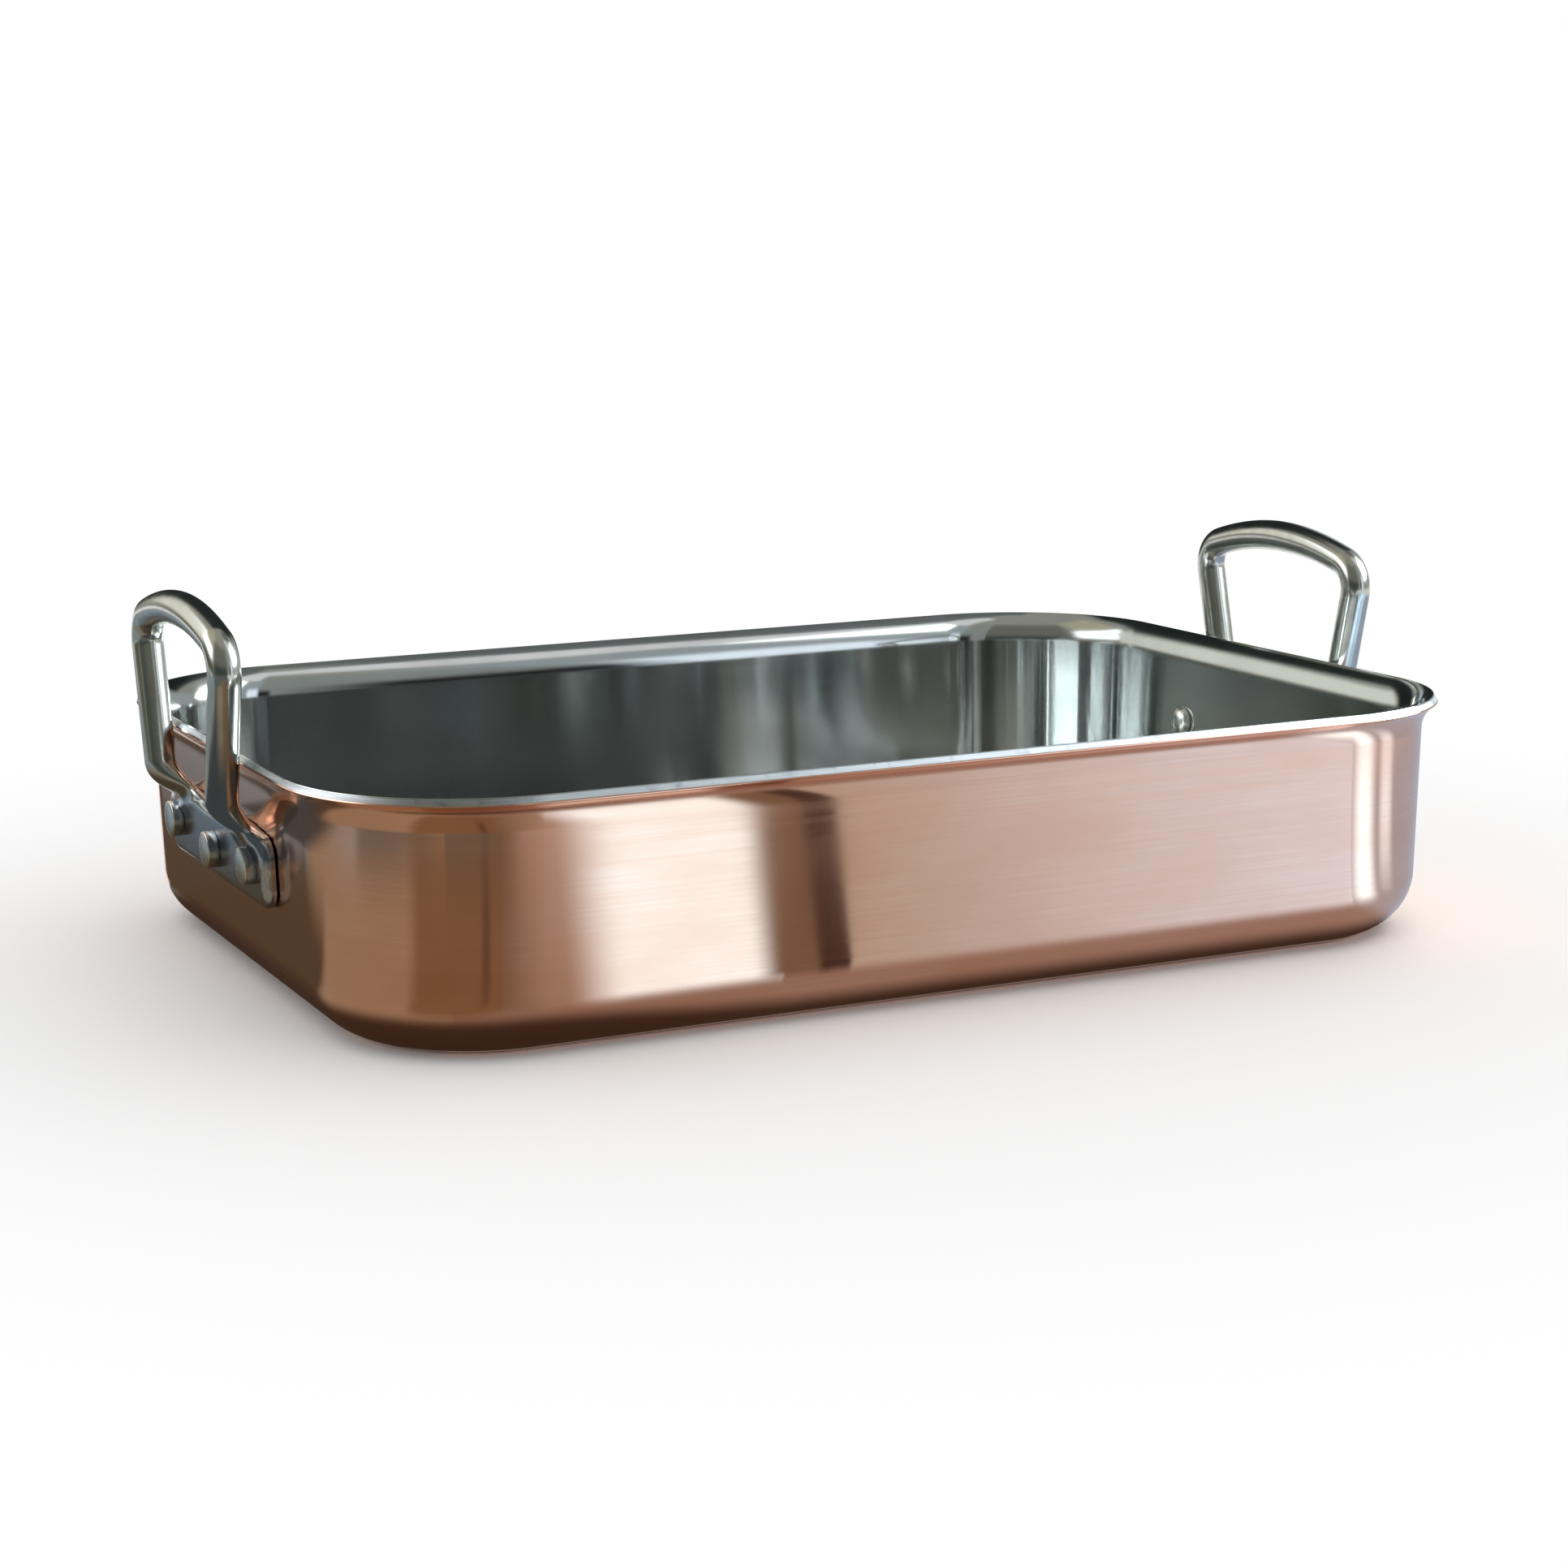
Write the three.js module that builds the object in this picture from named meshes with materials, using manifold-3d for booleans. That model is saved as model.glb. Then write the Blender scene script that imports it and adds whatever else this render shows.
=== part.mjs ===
// A rectangular roasting pan: a tray drawn from three-ply clad sheet, copper outside, aluminium in the
// middle and stainless steel inside, with a flared pouring lip and a cast handle riveted to each end.
// Millimetres, +Z up. The origin is the middle of the base, X runs along the pan and Y across it.
import * as THREE from 'three';
import { mergeVertices } from 'three/addons/utils/BufferGeometryUtils.js';
import Module from 'manifold-3d';

const { degToRad, lerp, smoothstep } = THREE.MathUtils;

// Tray: overall sizes are taken over the outermost edge of the lip.
const LIP_LENGTH = 350;
const LIP_WIDTH = 250;
const RIM_HEIGHT = 70;
const LIP_CORNER_RADIUS = 53;
const WALL_DRAFT = degToRad(1.7);
const BASE_EDGE_RADIUS = 17.5;
const FLARE_RADIUS = 9; // outside of the bend between wall and lip
const LIP_RISE = degToRad(32); // slope of the lip above the horizontal
const LIP_RUN = 0.4; // straight end of the lip past the bend

// Sheet, from the outside in, with the thin bond between plies.
const COPPER_THICKNESS = 0.5;
const CORE_THICKNESS = 1.6;
const LINING_THICKNESS = 0.4;
const BOND_LINE = 0.02;

// Seats and holes: the play left between a handle, its rivets and the sheet.
const FIT_GAP = 0.3;

// Rivets: a flat-topped outer head, a plain shank and a round inner head.
const RIVET_SHANK_DIAMETER = 5;
const RIVET_HEAD_DIAMETER = 10.4;
const RIVET_HEAD_SIDE = 2.6; // straight side of the outer head
const RIVET_HEAD_CROWN = 0.8; // low dome on the outer head
const RIVET_INNER_DIAMETER = 9.5;
const RIVET_INNER_HEIGHT = 2.8;
const RIVET_SPACING = 37; // from one rivet to the next along the plate
const RIVET_DROP = 2.4; // the middle rivet sits this much lower than the outer two

// Handle plate: its length and height follow the rivets it carries.
const PLATE_BELOW_RIM = 20.6;
const PLATE_THICKNESS = 3.7;
const PLATE_END_MARGIN = 10.7; // from an outer rivet's centre to the end
const PLATE_LOWER_MARGIN = 3.6; // under the middle rivet's head
const PLATE_CORNER_RADIUS = 6;
const PLATE_EDGE_ROUND = 2.8; // round the front face; the back is flat to its edge
const HEAD_TO_FOOT = 0.4; // from a rivet head up to the root of the foot

// Handle grip: a round rod that rises from two spread feet and arches over between them.
const LEG_DIAMETER = 9;
const GRIP_DIAMETER = 9.6; // at the crown, where the rod swells to fill the hand
const FOOT_ROOT = 2.9; // how far the feet are sunk in the plate's top edge
const FOOT_WIDTH = 17;
const FOOT_INSET = 17.8; // from the plate's end to the middle of a foot
const BEND_HEIGHT = 9.5; // above the plate, where the leg has left the wall
const LEG_SPLAY = degToRad(14);
const GRIP_RISE = 36; // middle of the rod above the rim, at the crown
const GRIP_CORNER_RADIUS = 8.5;
const GRIP_CROWN_RADIUS = 128;
const LIP_GAP = 0.3; // between a leg and the lip that it passes

// Facets
const CORNER_STEPS = 8;
const BASE_EDGE_STEPS = 5;
const FLARE_STEPS = 5;
const ROD_SIDES = 12;
const BEND_STEPS = 7;
const GRIP_CORNER_STEPS = 4;
const GRIP_CROWN_STEPS = 4;
const PLATE_CURVE_STEPS = 5;
const PLATE_ROUND_STEPS = 3;
const RIVET_SIDES = 16;
const DOME_STEPS = 4;

// Sizes that follow from those above
const SHEET_THICKNESS = COPPER_THICKNESS + CORE_THICKNESS + LINING_THICKNESS + 2 * BOND_LINE;
const LEG_RADIUS = LEG_DIAMETER / 2;
const RIVET_HEAD_RADIUS = RIVET_HEAD_DIAMETER / 2;
const PLATE_HALF_LENGTH = RIVET_SPACING + PLATE_END_MARGIN;
const PLATE_TOP = -PLATE_BELOW_RIM;
const RIVET_LINE = PLATE_TOP - FOOT_ROOT - HEAD_TO_FOOT - RIVET_HEAD_RADIUS;
const PLATE_BOTTOM = RIVET_LINE - RIVET_DROP - RIVET_HEAD_RADIUS - PLATE_LOWER_MARGIN;
const PLATE_MIDDLE = FIT_GAP + PLATE_THICKNESS / 2;
const PLATE_FACE = FIT_GAP + PLATE_THICKNESS;

const OUTWARD = new THREE.Vector3(1, 0, 0);

const wasm = await Module();
wasm.setup();

// Points on an arc of the given centre and radius, both ends included, angles from +X towards +Y.
function arcPoints(centre, radius, from, to, steps) {
  return Array.from({ length: steps + 1 }, (_, step) => {
    const angle = from + ((to - from) * step) / steps;
    return new THREE.Vector2(radius * Math.cos(angle), radius * Math.sin(angle)).add(centre);
  });
}

// A closed body through rings of equal count: each ring joins the next, and a fan closes each end.
// Rings run anticlockwise seen from the end that they lead to.
function loft(rings) {
  const count = rings[0].length;
  const sumOf = (ring) => ring.reduce((sum, point) => sum.add(point), new THREE.Vector3());
  const centreOf = (ring) => sumOf(ring).divideScalar(count);
  const vertices = [...rings.flat(), centreOf(rings[0]), centreOf(rings.at(-1))];
  const lastRing = (rings.length - 1) * count;
  const firstCentre = rings.length * count;
  const lastCentre = firstCentre + 1;
  const triangles = [];
  for (let side = 0; side < count; side += 1) {
    const next = (side + 1) % count;
    triangles.push(firstCentre, next, side);
    for (let low = 0; low < lastRing; low += count) {
      const high = low + count;
      triangles.push(low + side, low + next, high + next);
      triangles.push(low + side, high + next, high + side);
    }
    triangles.push(lastCentre, lastRing + side, lastRing + next);
  }
  return new THREE.BufferGeometry().setFromPoints(vertices).setIndex(triangles);
}

// Solids for cutting and joining, and back to a geometry.
function solidOf(geometry) {
  const bare = geometry.clone();
  bare.deleteAttribute('normal');
  bare.deleteAttribute('uv');
  const merged = mergeVertices(bare);
  const vertProperties = Float32Array.from(merged.attributes.position.array);
  const triVerts = Uint32Array.from(merged.index.array);
  return new wasm.Manifold(new wasm.Mesh({ numProp: 3, vertProperties, triVerts }));
}

function geometryOf(solid) {
  const { vertProperties, triVerts } = solid.getMesh();
  const geometry = new THREE.BufferGeometry();
  geometry.setAttribute('position', new THREE.BufferAttribute(vertProperties, 3));
  return geometry.setIndex(new THREE.BufferAttribute(triVerts, 1));
}

// The tray's section, in (outward from the lip's edge, up). The lip's edge is the outermost point of the
// sheet's outer face. Bends of the inner faces share the centres of the outer ones.
const lipNormal = new THREE.Vector2(Math.sin(LIP_RISE), -Math.cos(LIP_RISE));
const wallNormal = new THREE.Vector2(Math.cos(WALL_DRAFT), -Math.sin(WALL_DRAFT));
const lipEdge = new THREE.Vector2(0, RIM_HEIGHT - SHEET_THICKNESS * Math.cos(LIP_RISE));
const lipSlope = new THREE.Vector2(Math.cos(LIP_RISE), Math.sin(LIP_RISE));
const lipRoot = lipEdge.clone().addScaledVector(lipSlope, -LIP_RUN);
const flareCentre = lipRoot.clone().addScaledVector(lipNormal, FLARE_RADIUS);
const wallTop = flareCentre.clone().addScaledVector(wallNormal, -FLARE_RADIUS);
const wallFootHeight = BASE_EDGE_RADIUS * (1 - Math.sin(WALL_DRAFT));
const wallFoot = new THREE.Vector2(
  wallTop.x - (wallTop.y - wallFootHeight) * Math.tan(WALL_DRAFT),
  wallFootHeight,
);
const baseEdgeCentre = wallFoot.clone().addScaledVector(wallNormal, -BASE_EDGE_RADIUS);

// One face of the sheet at a depth below its outer face, from the base's edge up to the lip.
function faceSection(depth) {
  const baseRadius = BASE_EDGE_RADIUS - depth;
  const baseEdge = arcPoints(baseEdgeCentre, baseRadius, -Math.PI / 2, -WALL_DRAFT, BASE_EDGE_STEPS);
  const flareRadius = FLARE_RADIUS + depth;
  const flareEnd = Math.PI / 2 + LIP_RISE;
  const flare = arcPoints(flareCentre, flareRadius, Math.PI - WALL_DRAFT, flareEnd, FLARE_STEPS);
  const edge = lipEdge.clone().addScaledVector(lipNormal, -depth);
  return [...baseEdge, ...flare, edge];
}

// The tray's outline at one point of the section: a rectangle with round corners, all sides offset alike.
function trayRing(point) {
  const radius = LIP_CORNER_RADIUS + point.x;
  const alongX = LIP_LENGTH / 2 - LIP_CORNER_RADIUS;
  const alongY = LIP_WIDTH / 2 - LIP_CORNER_RADIUS;
  const corners = [[1, 1], [-1, 1], [-1, -1], [1, -1]];
  const outline = corners.flatMap(([signX, signY], quarter) => {
    const centre = new THREE.Vector2(signX * alongX, signY * alongY);
    const from = (quarter * Math.PI) / 2;
    return arcPoints(centre, radius, from, from + Math.PI / 2, CORNER_STEPS);
  });
  return outline.map((place) => new THREE.Vector3(place.x, place.y, point.y));
}

// One ply of the sheet between two depths.
function plyGeometry(outerDepth, innerDepth) {
  const section = [...faceSection(outerDepth), ...faceSection(innerDepth).reverse()];
  return loft(section.map(trayRing));
}

// Handle frame: its origin is where the end wall's outer face, carried up, meets the rim's height. X points
// out of the wall, Y along it and Z up along it. The right end's frame turned half round is the left end's.
const wallAtRim = LIP_LENGTH / 2 + wallTop.x + (RIM_HEIGHT - wallTop.y) * Math.tan(WALL_DRAFT);
const lipFromWall = lipEdge.clone().sub(wallTop).dot(wallNormal);
const legOut = lipFromWall + LIP_GAP + LEG_RADIUS;

// How far the grip's middle stands out of the wall's plane at a height above the rim. The grip is upright,
// so it draws nearer to the plane of the leaning wall as it rises.
function gripOut(height) {
  return legOut - height * Math.tan(WALL_DRAFT);
}

function endFrame(turn) {
  const end = new THREE.Group();
  end.rotation.z = turn;
  const wall = new THREE.Group();
  wall.position.set(wallAtRim, 0, RIM_HEIGHT);
  wall.rotation.y = WALL_DRAFT;
  end.add(wall);
  end.updateMatrixWorld(true);
  return { end, wall };
}

const ends = {
  right: endFrame(0),
  left: endFrame(Math.PI),
};

// Rivet places along the plate, each with its height under the rim.
const rivetPlaces = [-1, 0, 1].map((step) => {
  const height = step === 0 ? RIVET_LINE - RIVET_DROP : RIVET_LINE;
  return new THREE.Vector3(0, step * RIVET_SPACING, height);
});

// A rivet about the X axis, its shank crossing the wall's outer face at the origin.
function rivetGeometry() {
  const headFoot = PLATE_FACE + FIT_GAP;
  const innerFoot = -SHEET_THICKNESS - FIT_GAP;
  const innerRadius = RIVET_INNER_DIAMETER / 2;
  const dome = (radius, foot, height) =>
    Array.from({ length: DOME_STEPS + 1 }, (_, step) => {
      const angle = (Math.PI / 2) * (step / DOME_STEPS);
      return new THREE.Vector2(radius * Math.cos(angle), foot + height * Math.sin(angle));
    });
  const shank = RIVET_SHANK_DIAMETER / 2;
  const profile = [
    ...dome(innerRadius, innerFoot, -RIVET_INNER_HEIGHT).reverse(),
    new THREE.Vector2(shank, innerFoot),
    new THREE.Vector2(shank, headFoot),
    new THREE.Vector2(RIVET_HEAD_RADIUS, headFoot),
    ...dome(RIVET_HEAD_RADIUS, headFoot + RIVET_HEAD_SIDE, RIVET_HEAD_CROWN),
  ];
  // Both domes end on the axis.
  profile[0].x = 0;
  profile.at(-1).x = 0;
  return new THREE.LatheGeometry(profile, RIVET_SIDES).rotateZ(-Math.PI / 2);
}

// The round holes for one handle's rivets, in the handle's frame.
function rivetHoles() {
  const radius = RIVET_SHANK_DIAMETER / 2 + FIT_GAP;
  const reach = 2 * (PLATE_FACE + SHEET_THICKNESS + FIT_GAP);
  return rivetPlaces.map((place) =>
    new THREE.CylinderGeometry(radius, radius, reach, RIVET_SIDES)
      .rotateZ(-Math.PI / 2)
      .translate(place.x, place.y, place.z),
  );
}

// One ply with the rivet holes of both ends cut through it.
function piercedPly(outerDepth, innerDepth) {
  let ply = solidOf(plyGeometry(outerDepth, innerDepth));
  for (const { wall } of Object.values(ends)) {
    for (const hole of rivetHoles()) {
      ply = ply.subtract(solidOf(hole.applyMatrix4(wall.matrixWorld)));
    }
  }
  return geometryOf(ply);
}

// The handle's plate, drawn as a round-cornered bar twice as thick, with all its edges rounded. The middle of
// the bar lies in the plane of the plate's back, where the casting is cut flat.
function plateGeometry() {
  const inset = PLATE_EDGE_ROUND;
  const halfLength = PLATE_HALF_LENGTH - inset;
  const top = PLATE_TOP - inset;
  const bottom = PLATE_BOTTOM + inset;
  const radius = PLATE_CORNER_RADIUS - inset;
  const outline = new THREE.Shape();
  outline.absarc(halfLength - radius, top - radius, radius, 0, Math.PI / 2);
  outline.absarc(radius - halfLength, top - radius, radius, Math.PI / 2, Math.PI);
  outline.absarc(radius - halfLength, bottom + radius, radius, Math.PI, 1.5 * Math.PI);
  outline.absarc(halfLength - radius, bottom + radius, radius, 1.5 * Math.PI, 2 * Math.PI);
  outline.closePath();
  const plate = new THREE.ExtrudeGeometry(outline, {
    depth: 2 * (PLATE_THICKNESS - inset),
    curveSegments: PLATE_CURVE_STEPS,
    bevelThickness: inset,
    bevelSize: inset,
    bevelSegments: PLATE_ROUND_STEPS,
  });
  // The outline was drawn in (along, up): turn it so that the bar's thickness points out of the wall.
  const alongUpOut = new THREE.Matrix4().makeBasis(
    new THREE.Vector3(0, 1, 0),
    new THREE.Vector3(0, 0, 1),
    OUTWARD,
  );
  return plate.applyMatrix4(alongUpOut).translate(FIT_GAP - PLATE_THICKNESS + inset, 0, 0);
}

// Half of the grip's middle line, from the root of one foot to the crown. Each station has its place and
// the half sizes of the rod there, across the plate and out of it.
function halfGrip() {
  const footY = PLATE_HALF_LENGTH - FOOT_INSET;
  const legFoot = new THREE.Vector2(footY, PLATE_TOP);
  const legUp = new THREE.Vector2(Math.sin(LEG_SPLAY), Math.cos(LEG_SPLAY));
  const legInward = new THREE.Vector2(-Math.cos(LEG_SPLAY), Math.sin(LEG_SPLAY));
  const bend = Array.from({ length: BEND_STEPS + 1 }, (_, step) => {
    const share = step / BEND_STEPS;
    const rise = -FOOT_ROOT + share * (FOOT_ROOT + BEND_HEIGHT);
    const sweep = smoothstep(share, 0, 1);
    const place = legFoot.clone().addScaledVector(legUp, rise / legUp.y);
    return {
      place: new THREE.Vector3(lerp(PLATE_MIDDLE, gripOut(place.y), sweep), place.x, place.y),
      across: lerp(FOOT_WIDTH / 2, LEG_RADIUS, sweep),
      out: lerp(PLATE_THICKNESS / 2 - FIT_GAP, LEG_RADIUS, sweep),
    };
  });
  // The corner bend touches the leg on one side and the crown's arc on the other.
  const crownCentre = new THREE.Vector2(0, GRIP_RISE - GRIP_CROWN_RADIUS);
  const cornerStart = legFoot.clone().addScaledVector(legInward, GRIP_CORNER_RADIUS);
  const fromCrown = cornerStart.clone().sub(crownCentre);
  const along = fromCrown.dot(legUp);
  const reach = GRIP_CROWN_RADIUS - GRIP_CORNER_RADIUS;
  const climb = Math.sqrt(along ** 2 - fromCrown.lengthSq() + reach ** 2) - along;
  const cornerCentre = cornerStart.addScaledVector(legUp, climb);
  const crownAngle = cornerCentre.clone().sub(crownCentre).angle();
  const corner = arcPoints(cornerCentre, GRIP_CORNER_RADIUS, -LEG_SPLAY, crownAngle, GRIP_CORNER_STEPS);
  const crown = arcPoints(crownCentre, GRIP_CROWN_RADIUS, crownAngle, Math.PI / 2, GRIP_CROWN_STEPS);
  const arch = [...corner, ...crown.slice(1)].map((point) => {
    const radius = lerp(GRIP_DIAMETER / 2, LEG_RADIUS, smoothstep(point.x, 0, crown[0].x));
    return {
      place: new THREE.Vector3(gripOut(point.y), point.x, point.y),
      across: radius,
      out: radius,
    };
  });
  return [...bend, ...arch];
}

// The whole grip: the half line and its mirror image, with an oval ring square to the line at each station.
function gripGeometry() {
  const half = halfGrip();
  const mirrored = half.slice(0, -1).reverse().map((station) => ({
    ...station,
    place: station.place.clone().setY(-station.place.y),
  }));
  const stations = [...half, ...mirrored];
  const rings = stations.map(({ place, across, out }, index) => {
    const before = stations[Math.max(index - 1, 0)].place;
    const after = stations[Math.min(index + 1, stations.length - 1)].place;
    const forward = after.clone().sub(before).normalize();
    const sideways = OUTWARD.clone().cross(forward).normalize();
    const outwards = forward.clone().cross(sideways);
    return Array.from({ length: ROD_SIDES }, (_, side) => {
      const angle = (2 * Math.PI * side) / ROD_SIDES;
      return place
        .clone()
        .addScaledVector(sideways, across * Math.cos(angle))
        .addScaledVector(outwards, out * Math.sin(angle));
    });
  });
  return loft(rings);
}

function handleGeometry() {
  const casting = solidOf(plateGeometry()).add(solidOf(gripGeometry()));
  const flatBacked = casting.trimByPlane(OUTWARD.toArray(), FIT_GAP);
  return geometryOf(rivetHoles().reduce((body, hole) => body.subtract(solidOf(hole)), flatBacked));
}

function metal(color, roughness) {
  return new THREE.MeshStandardMaterial({ color, roughness, metalness: 1 });
}

function piece(name, geometry, material) {
  const mesh = new THREE.Mesh(geometry, material);
  mesh.name = name;
  return mesh;
}

const pan = new THREE.Group();

const coreDepth = COPPER_THICKNESS + BOND_LINE;
const liningDepth = coreDepth + CORE_THICKNESS + BOND_LINE;
pan.add(piece('copper_skin', piercedPly(0, COPPER_THICKNESS), metal('#b27a5c', 0.3)));
pan.add(piece('aluminium_core', piercedPly(coreDepth, coreDepth + CORE_THICKNESS), metal('#c9cccd', 0.45)));
pan.add(piece('steel_lining', piercedPly(liningDepth, SHEET_THICKNESS), metal('#a9aca6', 0.15)));

// The front is the -Y side. The left end's frame is turned half round, so its rivets run the other way.
const rivetNames = {
  right: ['front', 'middle', 'rear'],
  left: ['rear', 'middle', 'front'],
};
for (const [side, { end, wall }] of Object.entries(ends)) {
  wall.add(piece(`${side}_handle`, handleGeometry(), metal('#9a9d9a', 0.22)));
  rivetPlaces.forEach((place, index) => {
    const name = `${side}_rivet_${rivetNames[side][index]}`;
    const rivet = piece(name, rivetGeometry(), metal('#b4b7b3', 0.35));
    rivet.position.copy(place);
    wall.add(rivet);
  });
  pan.add(end);
}

export default pan;
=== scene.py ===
# %% [markdown]
# # A copper roasting pan
#
# The pan is drawn from clad sheet: copper outside, aluminium in the middle, stainless steel inside. Two cast
# steel handles are riveted to its ends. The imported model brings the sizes, the places and the faceted solids.
# This lesson lays smooth, finished surfaces over those solids and gives each metal the finish of its making.
#
# Everything is worked out in millimetres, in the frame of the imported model, and turned to metres when a mesh
# is made.

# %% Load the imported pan
import math

import bpy
import numpy as np
from mathutils import Matrix, Vector


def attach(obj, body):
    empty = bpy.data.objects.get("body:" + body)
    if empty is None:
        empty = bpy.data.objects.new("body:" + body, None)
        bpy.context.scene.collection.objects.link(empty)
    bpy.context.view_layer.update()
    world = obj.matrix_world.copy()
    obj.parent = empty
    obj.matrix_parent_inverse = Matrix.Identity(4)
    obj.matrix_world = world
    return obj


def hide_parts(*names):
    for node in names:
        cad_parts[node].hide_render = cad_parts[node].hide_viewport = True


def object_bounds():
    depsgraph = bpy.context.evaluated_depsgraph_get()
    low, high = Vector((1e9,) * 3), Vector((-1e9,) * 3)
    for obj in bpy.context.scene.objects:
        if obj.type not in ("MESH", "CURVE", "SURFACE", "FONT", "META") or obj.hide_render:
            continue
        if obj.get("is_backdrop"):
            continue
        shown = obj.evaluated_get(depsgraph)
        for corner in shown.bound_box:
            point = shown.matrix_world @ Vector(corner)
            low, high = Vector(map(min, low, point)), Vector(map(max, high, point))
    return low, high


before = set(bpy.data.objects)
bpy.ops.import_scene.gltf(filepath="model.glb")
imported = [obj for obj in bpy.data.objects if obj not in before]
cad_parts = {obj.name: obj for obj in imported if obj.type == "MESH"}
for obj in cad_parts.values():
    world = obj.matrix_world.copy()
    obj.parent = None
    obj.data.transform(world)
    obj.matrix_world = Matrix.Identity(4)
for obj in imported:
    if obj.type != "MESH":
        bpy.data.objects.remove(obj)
cad_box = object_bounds()
MM = 0.001
print("nodes in the frame:", ", ".join(sorted(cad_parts)))

# %% [markdown]
# ## The camera
#
# The photograph was taken from the front left, a little above the rim. A camera fitted to the outline of the
# pan in the photograph gives its angle, its distance and a long lens, which keeps the far handle nearly as
# large as the near one. The camera is set up first, because it decides what later has to look right.

# %% Camera
CAMERA_AZIMUTH = math.radians(25.411)  # how far the view turns to the right of straight ahead
CAMERA_ELEVATION = math.radians(10.673)
CAMERA_ROLL = math.radians(-0.633)
CAMERA_DISTANCE = 932.523
CAMERA_LENS, SENSOR_WIDTH = 70.997, 36
AIM = Vector((0, 0, 40))
AIM_OFFSET = (1.367, 0.859)  # from the aim to the middle of the picture, along the picture's sides

forward = Vector((
    math.sin(CAMERA_AZIMUTH) * math.cos(CAMERA_ELEVATION),
    math.cos(CAMERA_AZIMUTH) * math.cos(CAMERA_ELEVATION),
    -math.sin(CAMERA_ELEVATION),
))
level = Vector((math.cos(CAMERA_AZIMUTH), -math.sin(CAMERA_AZIMUTH), 0))
upright = level.cross(forward)
right = level * math.cos(CAMERA_ROLL) + upright * math.sin(CAMERA_ROLL)
up = upright * math.cos(CAMERA_ROLL) - level * math.sin(CAMERA_ROLL)
place = AIM - forward * CAMERA_DISTANCE + right * AIM_OFFSET[0] + up * AIM_OFFSET[1]

lens = bpy.data.cameras.new("camera")
lens.sensor_width = SENSOR_WIDTH
lens.lens = CAMERA_LENS
lens.clip_start = 0.01
camera = bpy.data.objects.new("camera", lens)
camera.matrix_world = Matrix.Translation(place * MM) @ Matrix((right, up, -forward)).transposed().to_4x4()
bpy.context.scene.collection.objects.link(camera)
bpy.context.scene.camera = camera
print("camera at", [round(x, 1) for x in place], "mm")

# %% [markdown]
# ## Meshes from arrays
#
# Each piece of this pan is a closed skin. Most are rings laid one after another that shrink to a point at
# both ends: a rivet does, and so does a sheet that starts in the middle of its outer face, runs round the
# lip and ends in the middle of its inner face. One function turns such rings into a mesh. It takes the
# normals as well, so a reflection runs smoothly over the mesh whatever its facets are. Nothing on this pan
# moves, so every piece rides on the root.

# %% Mesh makers
def mesh_piece(node, points, normals, faces):
    """The finished piece that takes the place of a node's solid, from points in millimetres, the normal at
    each point, and faces as rows of indices."""
    mesh = bpy.data.meshes.new(f"{node}_finish")
    mesh.from_pydata((points * MM).tolist(), [], faces)
    mesh.shade_smooth()
    mesh.normals_split_custom_set_from_vertices(normals.tolist())
    piece = bpy.data.objects.new(f"{node}_finish", mesh)
    bpy.context.scene.collection.objects.link(piece)
    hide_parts(node)
    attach(piece, "root")
    return piece


def ringed_piece(node, rings, normals):
    """A closed skin from rings, an array of rows by columns by 3. Rows run from one end to the other, columns
    anticlockwise seen from outside the last end. The first row and the last are each one point, repeated."""
    rows, columns = rings.shape[:2]
    index = np.arange((rows - 2) * columns).reshape(rows - 2, columns)
    ahead = np.roll(index, -1, axis=1)
    quads = np.stack([index[:-1], ahead[:-1], ahead[1:], index[1:]], axis=-1).reshape(-1, 4)
    first, last = index.size, index.size + 1
    first_fan = np.stack([np.full(columns, first), ahead[0], index[0]], axis=-1)
    last_fan = np.stack([np.full(columns, last), index[-1], ahead[-1]], axis=-1)
    points = np.concatenate([rings[1:-1].reshape(-1, 3), rings[[0, -1], 0]])
    outward = np.concatenate([normals[1:-1].reshape(-1, 3), normals[[0, -1], 0]])
    return mesh_piece(node, points, outward, quads.tolist() + first_fan.tolist() + last_fan.tolist())


# %% [markdown]
# ## The clad tray
#
# The tray is pressed from one flat sheet, so every wall has the same section: a flat base, a rounded lower
# edge, a wall that leans out a little, and a lip that flares out and up. A box with a bevel could stand for
# it, but the bends would not run true round the corners. Here the section is carried round a rectangle with
# round corners. Both have exact normals, and the three plies are the same section at three depths.

# %% Sizes of the tray
LIP_LENGTH, LIP_WIDTH, RIM_HEIGHT = 350, 250, 70
LIP_CORNER_RADIUS = 53
WALL_DRAFT = math.radians(1.7)
BASE_EDGE_RADIUS = 17.5
FLARE_RADIUS = 9
LIP_RISE = math.radians(32)
LIP_RUN = 0.4
COPPER_THICKNESS, CORE_THICKNESS, LINING_THICKNESS, BOND_LINE = 0.5, 1.6, 0.4, 0.02
SHEET_THICKNESS = COPPER_THICKNESS + CORE_THICKNESS + LINING_THICKNESS + 2 * BOND_LINE
print("sheet", round(SHEET_THICKNESS, 2), "mm thick")


# %% Section of the sheet
def turned(angles):
    """Unit vectors at the given angles."""
    return np.stack([np.cos(angles), np.sin(angles)], axis=-1)


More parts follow.
